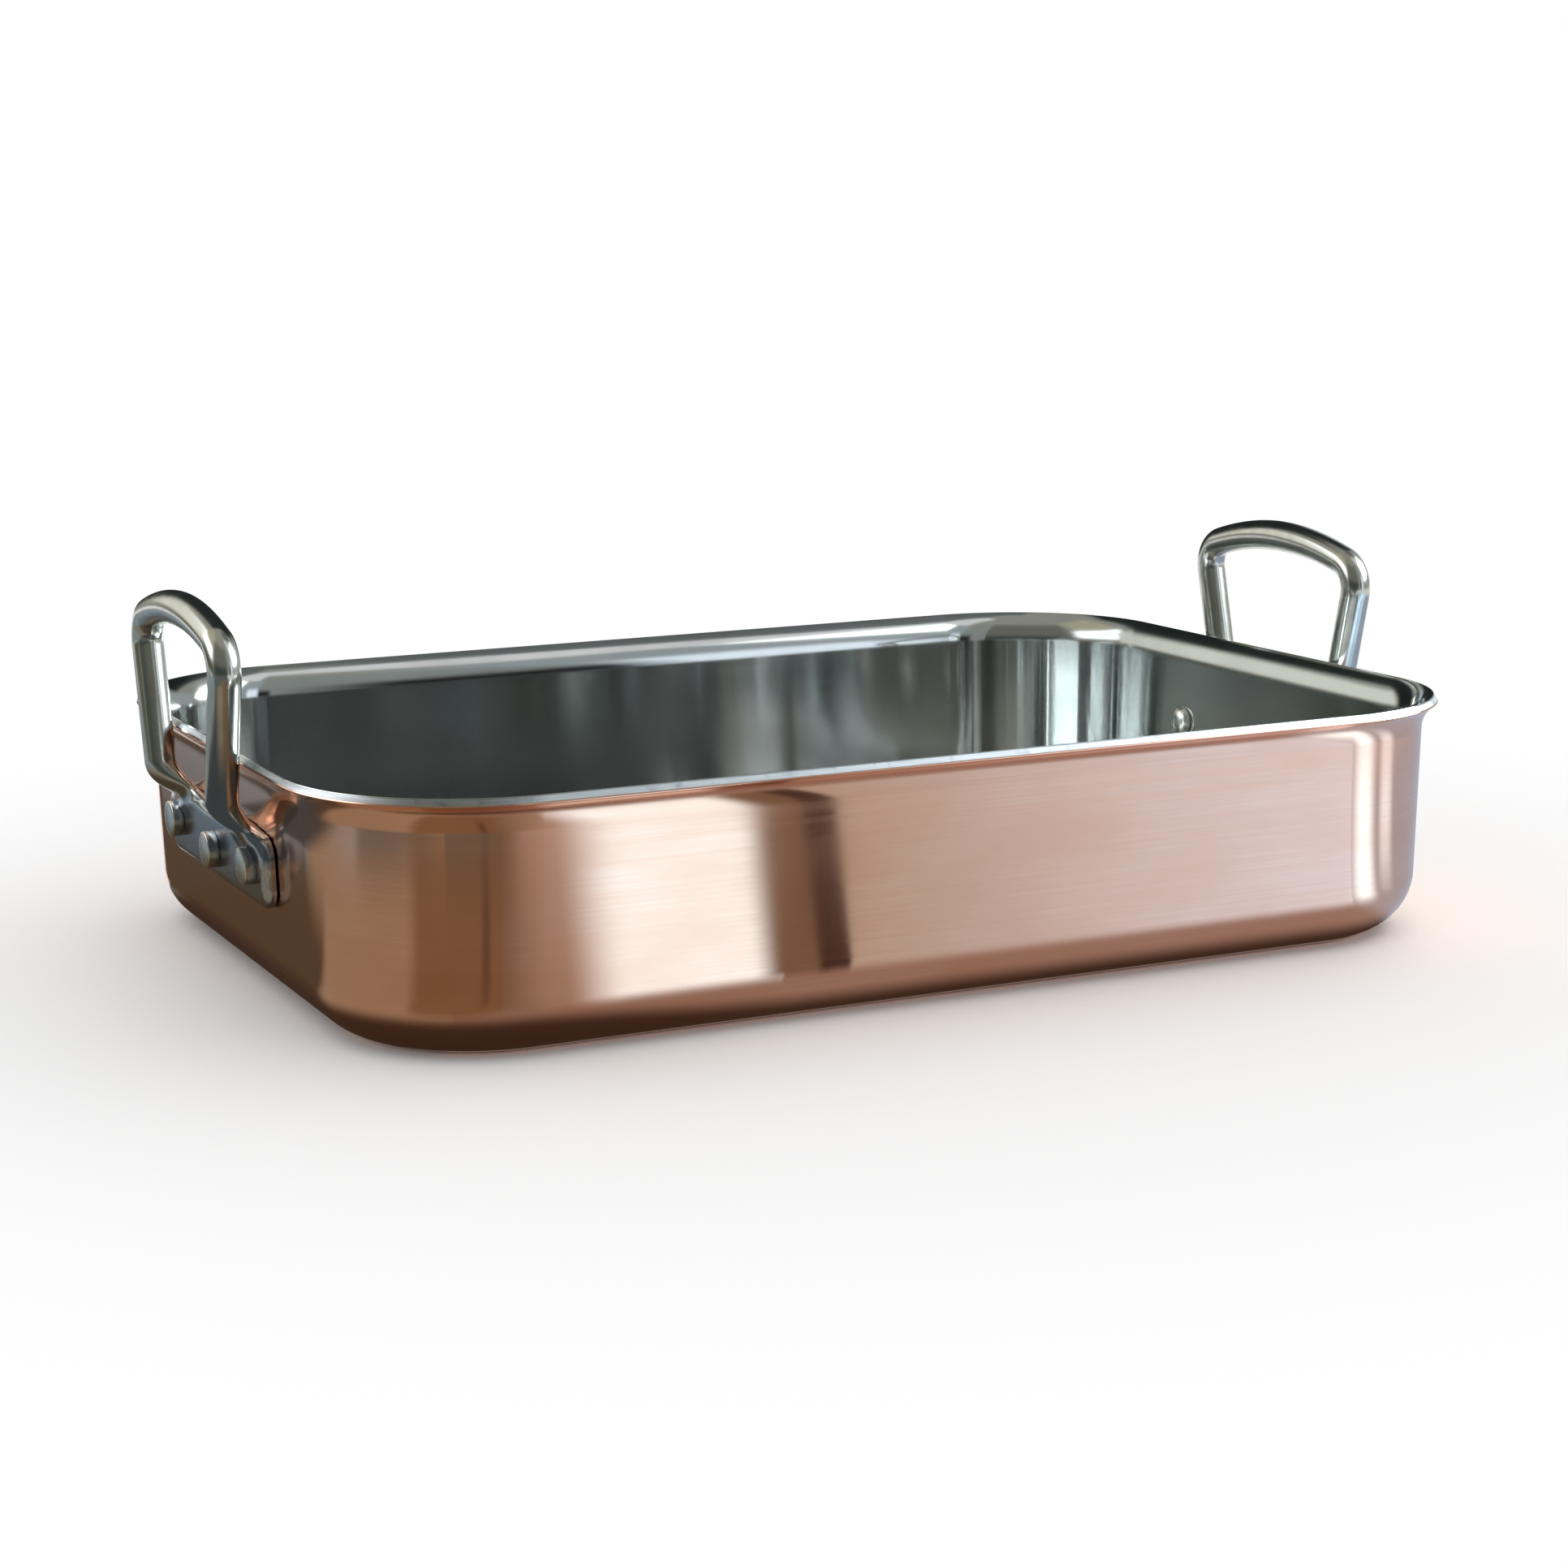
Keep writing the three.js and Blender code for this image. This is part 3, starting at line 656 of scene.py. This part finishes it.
at = add_node(tree, "TexCoord").outputs
strokes = add_node(tree, "Mapping", {
    "Vector": at["Object"], "Scale": (1 / FILE_LENGTH, 1 / FILE_LENGTH, 1 / FILE_WIDTH)})
filed = add_node(tree, "TexNoise", {"Vector": strokes, "Scale": 1, "Detail": 3})
lines = add_node(tree, "MapRange", {"Value": filed, "From Min": 0.3, "From Max": 0.7})
patches = add_node(tree, "TexNoise", {"Vector": at["Object"], "Scale": 1 / PATCH, "Detail": 3})
dull = add_node(tree, "MapRange", {"Value": patches, "From Min": 0.55, "From Max": 0.75})
pale = add_node(tree, "Mix", {
    "Factor": lines, "A": linear("#C2C5C9"), "B": linear("#A4A8AD")}, data_type="RGBA")
tint = add_node(tree, "Mix", {"Factor": dull, "A": pale, "B": linear("#93979D")}, data_type="RGBA")
rough = add_node(tree, "Mix", {"Factor": filed, "A": 0.30, "B": 0.48})
bumped = add_node(tree, "Bump", {"Strength": 0.4, "Distance": 0.03 * MM, "Height": filed})
metal = add_node(tree, "BsdfPrincipled", {
    "Metallic": 1, "Base Color": tint, "Roughness": rough, "Normal": bumped})
add_node(tree, "OutputMaterial", {"Surface": metal})
wear([aluminium_core], aluminium)

# %% [markdown]
# ### The lining
#
# The inside is stainless steel, polished on a wheel that ran round the walls. Its fine lines keep upright
# edges sharp and smear the mirror up and down. A pressed sheet is never quite flat, so those edges are wavy,
# and wiping leaves hairlines that show as faint haze. The steel is darker than silver, and light that bounces
# between the walls several times turns grey and dark. An image of scratches would repeat; noise does not.

# %% Polished lining
lining, tree = new_finish("stainless steel, mirror polished")
HAIR_LENGTH, HAIR_WIDTH = 30 * MM, 0.8 * MM  # real hairlines are far finer; drawn wider, so that they show
HAZE, RIPPLE = 30 * MM, 20 * MM

at = add_node(tree, "TexCoord").outputs
wiping = add_node(tree, "Mapping", {
    "Vector": at["Object"], "Scale": (1 / HAIR_LENGTH, 1 / HAIR_LENGTH, 1 / HAIR_WIDTH)})
hairlines = add_node(tree, "TexNoise", {"Vector": wiping, "Scale": 1, "Detail": 3})
lines = add_node(tree, "MapRange", {"Value": hairlines, "From Min": 0.45, "From Max": 0.75})
film = add_node(tree, "TexNoise", {"Vector": at["Object"], "Scale": 1 / HAZE, "Detail": 3})
hazy = add_node(tree, "MapRange", {"Value": film, "From Min": 0.4, "From Max": 0.75})
tint = add_node(tree, "Mix", {
    "Factor": hazy, "A": linear("#C6C9C8"), "B": linear("#BBBEBD")}, data_type="RGBA")
wiped = add_node(tree, "Mix", {"Factor": lines, "A": 0.09, "B": 0.11})
rough = add_node(tree, "Mix", {"Factor": hazy, "A": wiped, "B": 0.12})
pressed = add_node(tree, "TexNoise", {"Vector": at["Object"], "Scale": 1 / RIPPLE, "Detail": 2})
rippled = add_node(tree, "Bump", {"Strength": 0.10, "Distance": 0.1 * MM, "Height": pressed})
fine = add_node(tree, "Bump", {
    "Strength": 0.15, "Distance": 0.01 * MM, "Height": hairlines, "Normal": rippled})
along = round_the_walls(tree, at["Normal"])
metal = add_node(tree, "BsdfPrincipled", {
    "Metallic": 1, "Base Color": tint, "Roughness": rough, "Normal": fine,
    "Anisotropic": 1, "Anisotropic Rotation": 0.25, "Tangent": along})
add_node(tree, "OutputMaterial", {"Surface": metal})
wear([steel_lining], lining)

# %% [markdown]
# ### Cast steel
#
# The handles are cast in stainless steel. The rod is polished by hand on a wheel, which leaves slow waves in
# its soft mirror. The plate is satined, so it is a smooth blue-grey. The finish changes over the feet.

# %% Cast steel, polished rod and satin plate
cast, tree = new_finish("cast stainless steel, polished rod and satin plate")
WHEEL, GRAIN = 7 * MM, 0.7 * MM  # the real grain is finer; drawn coarser, so that it shows
SATIN_BELOW, POLISH_ABOVE = 3, 5  # from the plate's top edge; the finish changes in between
satin_top = (RIM_HEIGHT + plate_top - SATIN_BELOW) * MM
polish_from = (RIM_HEIGHT + plate_top + POLISH_ABOVE) * MM

at = add_node(tree, "TexCoord").outputs
height = add_node(tree, "SeparateXYZ", {"Vector": at["Object"]}).outputs["Z"]
on_rod = add_node(tree, "MapRange", {
    "Value": height, "From Min": satin_top, "From Max": polish_from}, interpolation_type="SMOOTHSTEP")
wheel = add_node(tree, "TexNoise", {"Vector": at["Object"], "Scale": 1 / WHEEL, "Detail": 2})
waves = add_node(tree, "MapRange", {"Value": wheel, "From Min": 0.3, "From Max": 0.7})
grain = add_node(tree, "TexNoise", {"Vector": at["Object"], "Scale": 1 / GRAIN, "Detail": 3})
pits = add_node(tree, "MapRange", {"Value": grain, "From Min": 0.35, "From Max": 0.7})
bright = add_node(tree, "Mix", {
    "Factor": waves, "A": linear("#CBCBC6"), "B": linear("#BFBFB9")}, data_type="RGBA")
satin = add_node(tree, "Mix", {
    "Factor": pits, "A": linear("#BBC0C8"), "B": linear("#ADB3BB")}, data_type="RGBA")
tint = add_node(tree, "Mix", {"Factor": on_rod, "A": satin, "B": bright}, data_type="RGBA")
gloss = add_node(tree, "Mix", {"Factor": waves, "A": 0.16, "B": 0.22})
soft = add_node(tree, "Mix", {"Factor": pits, "A": 0.17, "B": 0.24})
rough = add_node(tree, "Mix", {"Factor": on_rod, "A": soft, "B": gloss})
hand = add_node(tree, "Bump", {"Strength": 0.4, "Distance": 0.06 * MM, "Height": wheel})
depth = add_node(tree, "Mix", {"Factor": on_rod, "A": 0.20, "B": 0.05})
pitted = add_node(tree, "Bump", {
    "Strength": depth, "Distance": 0.02 * MM, "Height": grain, "Normal": hand})
metal = add_node(tree, "BsdfPrincipled", {
    "Metallic": 1, "Base Color": tint, "Roughness": rough, "Normal": pitted})
add_node(tree, "OutputMaterial", {"Surface": metal})
wear(list(handles.values()), cast)

# %% [markdown]
# ### Rivet steel
#
# The rivets are turned from steel bar and their heads struck in a die. The heads are satin, paler than the
# plate, with fine turning rings and small dents.

# %% Struck steel
struck, tree = new_finish("turned stainless steel, struck satin")
DENT = 2.2 * MM
RING = 0.5  # in millimetres, as from_axis is; real turning rings are finer, drawn wider to show

at = add_node(tree, "TexCoord").outputs
from_axis = add_node(tree, "Attribute", attribute_name="from_axis").outputs["Fac"]
struck_at = add_node(tree, "TexNoise", {"Vector": at["Object"], "Scale": 1 / DENT, "Detail": 2})
dents = add_node(tree, "MapRange", {"Value": struck_at, "From Min": 0.35, "From Max": 0.7})
turning = add_node(tree, "TexNoise", {
    "W": from_axis, "Scale": 1 / RING, "Detail": 1}, noise_dimensions="1D")
rings = add_node(tree, "MapRange", {"Value": turning, "From Min": 0.3, "From Max": 0.7})
tint = add_node(tree, "Mix", {
    "Factor": dents, "A": linear("#E2E2DF"), "B": linear("#D0D1CE")}, data_type="RGBA")
rough = add_node(tree, "Mix", {"Factor": rings, "A": 0.22, "B": 0.34})
ringed = add_node(tree, "Bump", {"Strength": 0.25, "Distance": 0.03 * MM, "Height": turning})
dented = add_node(tree, "Bump", {
    "Strength": 0.4, "Distance": 0.08 * MM, "Height": struck_at, "Normal": ringed})
metal = add_node(tree, "BsdfPrincipled", {
    "Metallic": 1, "Base Color": tint, "Roughness": rough, "Normal": dented})
add_node(tree, "OutputMaterial", {"Surface": metal})
wear(rivets, struck)

# %% [markdown]
# ## The studio
#
# The photograph shows the pan on plain white. Here it stands on white paper in a white room that lights it
# softly from all sides. The paper keeps the pan's shadow and turns to pure white further out.

# %% Room and paper
SHADED_TO, WHITE_FROM = 240 * MM, 420 * MM  # from the middle of the pan
HALF_FLOOR = 6000

bpy.context.scene.view_settings.view_transform = "Standard"
world = bpy.data.worlds.new("white room")
bpy.context.scene.world = world
world.use_nodes = True
world.node_tree.nodes["Background"].inputs["Color"].default_value = (1, 1, 1, 1)
world.node_tree.nodes["Background"].inputs["Strength"].default_value = 1


def stage_sheet(name, points, material):
    """A grid of points in millimetres, rows by columns by 3, as a part of the stage. Its UV runs from 0 to 1
    along the columns and the rows."""
    rows, columns = points.shape[:2]
    index = np.arange(rows * columns).reshape(rows, columns)
    faces = np.stack([index[:-1, :-1], index[:-1, 1:], index[1:, 1:], index[1:, :-1]], axis=-1).reshape(-1, 4)
    mesh = bpy.data.meshes.new(name)
    mesh.from_pydata((points.reshape(-1, 3) * MM).tolist(), [], faces.tolist())
    v, u = np.meshgrid(np.linspace(0, 1, rows), np.linspace(0, 1, columns), indexing="ij")
    spread = np.stack([u, v], axis=-1).reshape(-1, 2)[faces.ravel()]
    mesh.uv_layers.new(name="spread").data.foreach_set("uv", spread.ravel())
    mesh.materials.append(material)
    sheet = bpy.data.objects.new(name, mesh)
    bpy.context.scene.collection.objects.link(sheet)
    sheet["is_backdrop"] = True
    return sheet


paper, tree = new_finish("white paper")
diffuse = add_node(tree, "BsdfDiffuse", {"Color": linear("#FAFAFA")})
ray = add_node(tree, "LightPath").outputs
seen = add_node(tree, "Math", {0: ray["Is Camera Ray"], 1: ray["Is Glossy Ray"]}, operation="MAXIMUM")
seen = add_node(tree, "Math", {0: seen, 1: ray["Is Transmission Ray"]}, operation="MAXIMUM")
at = add_node(tree, "TexCoord").outputs
from_pan = add_node(tree, "VectorMath", {0: at["Object"]}, operation="LENGTH").outputs["Value"]
far = add_node(tree, "MapRange", {
    "Value": from_pan, "From Min": SHADED_TO, "From Max": WHITE_FROM}, interpolation_type="SMOOTHSTEP")
lit = add_node(tree, "Math", {0: far, 1: seen}, operation="MULTIPLY")
white = add_node(tree, "Emission", {"Color": (1, 1, 1, 1), "Strength": 1})
mixed = add_node(tree, "MixShader", {0: lit, 1: diffuse, 2: white})
add_node(tree, "OutputMaterial", {"Surface": mixed})
corners = HALF_FLOOR * np.array([[[-1, -1, 0], [1, -1, 0]], [[-1, 1, 0], [1, 1, 0]]])
stage_sheet("floor", corners, paper)
print("white room, paper", round(2 * HALF_FLOOR * MM), "m wide")

# %% [markdown]
# ### Cards
#
# Polished metal shows its surroundings more than itself, and in an all-white room this pan would look like
# painted plaster. A product studio gives metal its shape with painted boards and cloth flags. Here each card
# is a sheet of plain tone with soft edges that only reflections show: it throws no shadow and lights nothing
# else. A picture of a room could be mirrored instead, but a card can be moved until its edge falls where it
# should. Later cards cover earlier ones.

# %% Card maker
def card(name, points, first, second=None, strength=1, soft=(0, 0, 0, 0)):
    """A card that only reflections show, from one tone at its left end to another at its right. Soft is the
    share of the card over which it fades at the left, the right, the near and the far edge."""
    tone, tree = new_finish(name)
    spread = add_node(tree, "SeparateXYZ", {
        "Vector": add_node(tree, "TexCoord").outputs["UV"]}).outputs
    colour = add_node(tree, "Mix", {
        "Factor": spread["X"], "A": linear(first), "B": linear(second or first)}, data_type="RGBA")
    shown = add_node(tree, "Value")
    shown.outputs[0].default_value = 1
    edges = ((spread["X"], 0, soft[0]), (spread["X"], 1, 1 - soft[1]),
             (spread["Y"], 0, soft[2]), (spread["Y"], 1, 1 - soft[3]))
    for across, edge, full in edges:
        if edge != full:
            fade = add_node(tree, "MapRange", {
                "Value": across, "From Min": edge, "From Max": full}, interpolation_type="SMOOTHSTEP")
            shown = add_node(tree, "Math", {0: shown, 1: fade}, operation="MULTIPLY")
    glow = add_node(tree, "Emission", {"Color": colour, "Strength": strength})
    clear = add_node(tree, "BsdfTransparent")
    mixed = add_node(tree, "MixShader", {0: shown, 1: clear, 2: glow})
    add_node(tree, "OutputMaterial", {"Surface": mixed})
    sheet = stage_sheet(name, points, tone)
    for way in ("camera", "diffuse", "transmission", "volume_scatter", "shadow"):
        setattr(sheet, f"visible_{way}", False)
    return sheet


# %% [markdown]
# The standing cards are what the lining, the lip and the rods mirror: a grey dome, darker and brighter walls
# in it, flags for the deep shade inside the pan, and a window that shows as bright columns in the far corner.

# %% Standing cards
ROOM, STEP_IN = 1500, 5  # how far off the first card stands, and how much nearer each next one is
CARD_ROWS, CARD_COLUMNS = 25, 97  # enough that a bent card keeps clear of the next one
LOW = -18  # elevation of the walls' lower edge, under the paper
FLAG_EDGE = 155.4  # azimuth where the bright gap in front ends and the dark flag begins
standing = []


def stand(name, azimuths, elevations, tone, strength=1, soft=(0, 0, 0, 0)):
    """A card bent round the pan: point = radius times the direction at an azimuth, clockwise from the pan's
    rear, and an elevation, both in degrees. Its lower edge is the near one."""
    elevation, azimuth = np.radians(np.meshgrid(
        np.linspace(*elevations, CARD_ROWS), np.linspace(*azimuths, CARD_COLUMNS), indexing="ij"))
    out = np.cos(elevation)
    directions = np.stack([out * np.sin(azimuth), out * np.cos(azimuth), np.sin(elevation)], axis=-1)
    radius = ROOM - STEP_IN * len(standing)
    standing.append(card(name, radius * directions, tone, strength=strength, soft=soft))


stand("grey room", (-180, 180), (LOW, 90), "#A8A8A0")
stand("grey wall left", (-180, -90), (LOW, 66), "#7C7D74", soft=(0, 0.15, 0, 0.15))
stand("low grey wall left", (-180, -90), (LOW, 24), "#454E49", soft=(0, 0.15, 0, 0.3))
stand("warm flag high", (-96, -22), (38, 68), "#C8C5A8", soft=(0.2, 0.2, 0.2, 0.2))
stand("bright wall behind", (-96, -22), (13, 42), "#F8FBFF", 3.2, soft=(0.2, 0.2, 0.3, 0.3))
stand("olive flag behind", (-96, -18), (LOW, 17), "#57573F", soft=(0.1, 0.15, 0, 0.3))
stand("dark flag behind", (-17, 64), (LOW, 60), "#262B2A", soft=(0.12, 0.1, 0, 0.1))
stand("pale wall behind", (-44, -10), (4, 36), "#FFFFF2", soft=(0.25, 0.3, 0.2, 0.25))
stand("grey wall behind", (38, 90), (LOW, 32), "#B4BCBC", soft=(0.15, 0.1, 0, 0.15))
stand("grey flag overhead", (24, 112), (54, 80), "#747979", soft=(0.1, 0.1, 0.1, 0.2))
stand("bright wall right", (86, 138), (14, 58), "#F4FCFF", 4.2, soft=(0.1, 0.1, 0.15, 0.15))
stand("pale flag overhead", (104, 152), (51, 80), "#FFFFFF", soft=(0.15, 0.15, 0.15, 0.15))
stand("grey wall right", (136, 156), (LOW, 58), "#B0B9BC", soft=(0.1, 0, 0, 0.15))
stand("grey wall in front", (FLAG_EDGE, 180), (LOW, 62), "#A0A5A2", soft=(0.03, 0, 0, 0.15))
stand("bright gap in front", (143, FLAG_EDGE), (-6, 34), "#EAF4FF", 1.6, soft=(0.25, 0.2, 0, 0.3))
stand("dark flag in front", (FLAG_EDGE, 168), (LOW, 29), "#0A0D0F", soft=(0.03, 0.4, 0, 0.35))
stand("window", (90, 122), (17, 38), "#F0FAFF", 24, soft=(0.1, 0.1, 0.1, 0.1))
print(len(standing), "cards stand round the pan")

# %% [markdown]
# Seen from a little above, the copper walls mirror the floor in front of them. So the lying cards are strips
# that run away from the pan, and each shows as an upright band on the copper. A dark ring under the rounded
# lower edge is painted shade, which the copper mirrors in place of the shaded paper at the pan's foot.

# %% Lying cards
LOWEST, LAYER = 0.5, 0.1  # the first card's height over the paper, and each next one's over the one before
FRONT, LEFT = -LIP_WIDTH / 2 - 2, -LIP_LENGTH / 2 + 3  # near edges of the cards in front and at the left
FAR = -468  # far edge of the strips in front
FLAT_STEPS = 9
SHADE_IN = 42  # how far the ring reaches under the base
SHADE_OUT, SHADE_OUT_LEFT = 2, 14  # and past the wall's foot, in general and at the left end
SHADE_TURN = (-120, -60)  # along X, from where it is widest to where it is narrow
lying = []


def lifted(flat, height=LOWEST):
    """A grid of rows by columns by 2, at a height over the paper and a little over the cards before it."""
    heights = np.full((*flat.shape[:2], 1), height + LAYER * len(lying))
    return np.concatenate([flat, heights], axis=-1)


def lay(name, near_left, near_right, far_right, far_left, first, second=None, strength=1,
        soft=(0, 0, 0, 0), height=LOWEST):
    """A level card by its corners: its two sides run from near to far, and its rows from side to side."""
    grid = np.array([[near_left, near_right], [far_left, far_right]], dtype=float)
    share = np.linspace(0, 1, FLAT_STEPS)
    sides = grid[0] + share[:, None, None] * (grid[1] - grid[0])
    sheet = sides[:, :1] + share[None, :, None] * (sides[:, 1:] - sides[:, :1])
    lying.append(card(name, lifted(sheet, height), first, second, strength, soft))


def foot_ring():
    """A ring along the wall's foot: point = middle of the corner's arc + reach times direction."""
    middles, directions = tray_outline()
    past_wall = np.interp(middles[:, 0], SHADE_TURN, [SHADE_OUT_LEFT, SHADE_OUT])
    across = np.linspace(np.full_like(past_wall, -SHADE_IN), past_wall, FLAT_STEPS, axis=1)
    reach = LIP_CORNER_RADIUS + wall_foot[0] + across
    ring = middles[:, None] + reach[..., None] * directions[:, None]
    return np.concatenate([ring, ring[:1]])


lay("front left ground", (-1500, 120), (-60, 120), (-60, -1500), (-1500, -1500), "#6B6F6C",
    soft=(0, 0.06, 0, 0))
lay("foot ground", (-230, -100), (260, -100), (260, -330), (-230, -330), "#8F7B6C", "#A89C9C",
    soft=(0.1, 0.1, 0, 0.5))
lay("side ground", (LEFT, 700), (LEFT, -50), (-1000, -120), (-1000, 700), "#97A4AB", soft=(0, 0.04, 0, 0))
lay("grey side card", (LEFT, 700), (LEFT, -50), (-262, -20), (-262, 700), "#74808A", soft=(0, 0.04, 0, 0.2))
lay("dark side card", (LEFT, 700), (LEFT, -50), (-222, -30), (-222, 700), "#544C40", soft=(0, 0.04, 0, 0.35))
lay("warm corner card", (-174, 40), (-150, -118), (-330, -330), (-430, 330), "#938E7E", "#A08F7A",
    soft=(0.15, 0, 0, 0.15))
lay("olive corner card", (LEFT, 120), (LEFT, -66), (-300, 30), (-300, 200), "#544939",
    soft=(0.2, 0.12, 0, 0.7))
lay("brown card", (-169, -104), (-135, -129), (-165, -390), (-409, -220), "#806A50",
    soft=(0.2, 0, 0.05, 0.35))
lay("thin dark strip", (-146, -121), (-140, -126), (-182, -338), (-211, -328), "#665240",
    soft=(0.4, 0.4, 0.3, 0.3))
# painted shade: a dark ring under the foot, mirrored by the copper's rounded lower edge
lying.append(card(
    "painted shade at the foot", lifted(foot_ring()), "#0C0806", "#4A3A30", soft=(0, 0.25, 0, 0)))
lay("warm to grey card", (-137, -129), (-96, FRONT), (40, FAR), (-180, -476), "#7C6B58", "#B5A9A0",
    soft=(0.06, 0, 0.04, 0))
lay("light strip", (-112, FRONT), (-50, FRONT), (105, FAR), (10, FAR), "#C9EAFF", strength=2.05,
    soft=(0.3, 0, 0.06, 0))
lay("brown strip", (-60, FRONT), (-36, FRONT), (118, FAR), (88, FAR), "#7A6A58", soft=(0.4, 0, 0.06, 0))
lay("dark strip", (-41, FRONT), (-30, FRONT), (130, FAR), (111, FAR), "#463530", soft=(0.3, 0, 0.06, 0))
lay("cool card", (-31, FRONT), (139, FRONT), (380, -460), (128, FAR), "#9C9C97", "#C8E2FF",
    strength=1.5, soft=(0.01, 0, 0.05, 0))
lay("right corner card", (137, FRONT), (182, 20), (760, 420), (374, -460), "#B0BED2", soft=(0, 0, 0.04, 0))
lay("right corner light", (132, FRONT), (158, -118), (512, -340), (358, -470), "#C4E6FF", strength=2.7,
    soft=(0.45, 0.45, 0.08, 0.35))
lay("right corner second light", (154, -119), (168, -105), (590, -210), (500, -335), "#CDE8FF",
    strength=1.7, soft=(0.35, 0.45, 0.3, 0.35))
# painted shade: a dark sheet held beside the left handle, which the handle and the flare next to it mirror
lay("painted shade by the handle", (-174, 5), (-174, -78), (-270, -78), (-270, 5), "#484D50", height=48,
    soft=(0.1, 0.3, 0, 0.3))
print(len(lying), "cards lie round the pan")

# %% [markdown]
# ## The size of the finished pan
#
# The finished surfaces have to fill the box of the imported solids. Both boxes are printed.

# %% Size of the finished pan
finished_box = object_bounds()
for label, box in (("CAD", cad_box), ("finished", finished_box)):
    print(label, "box", [list(np.round(corner, 4)) for corner in box])
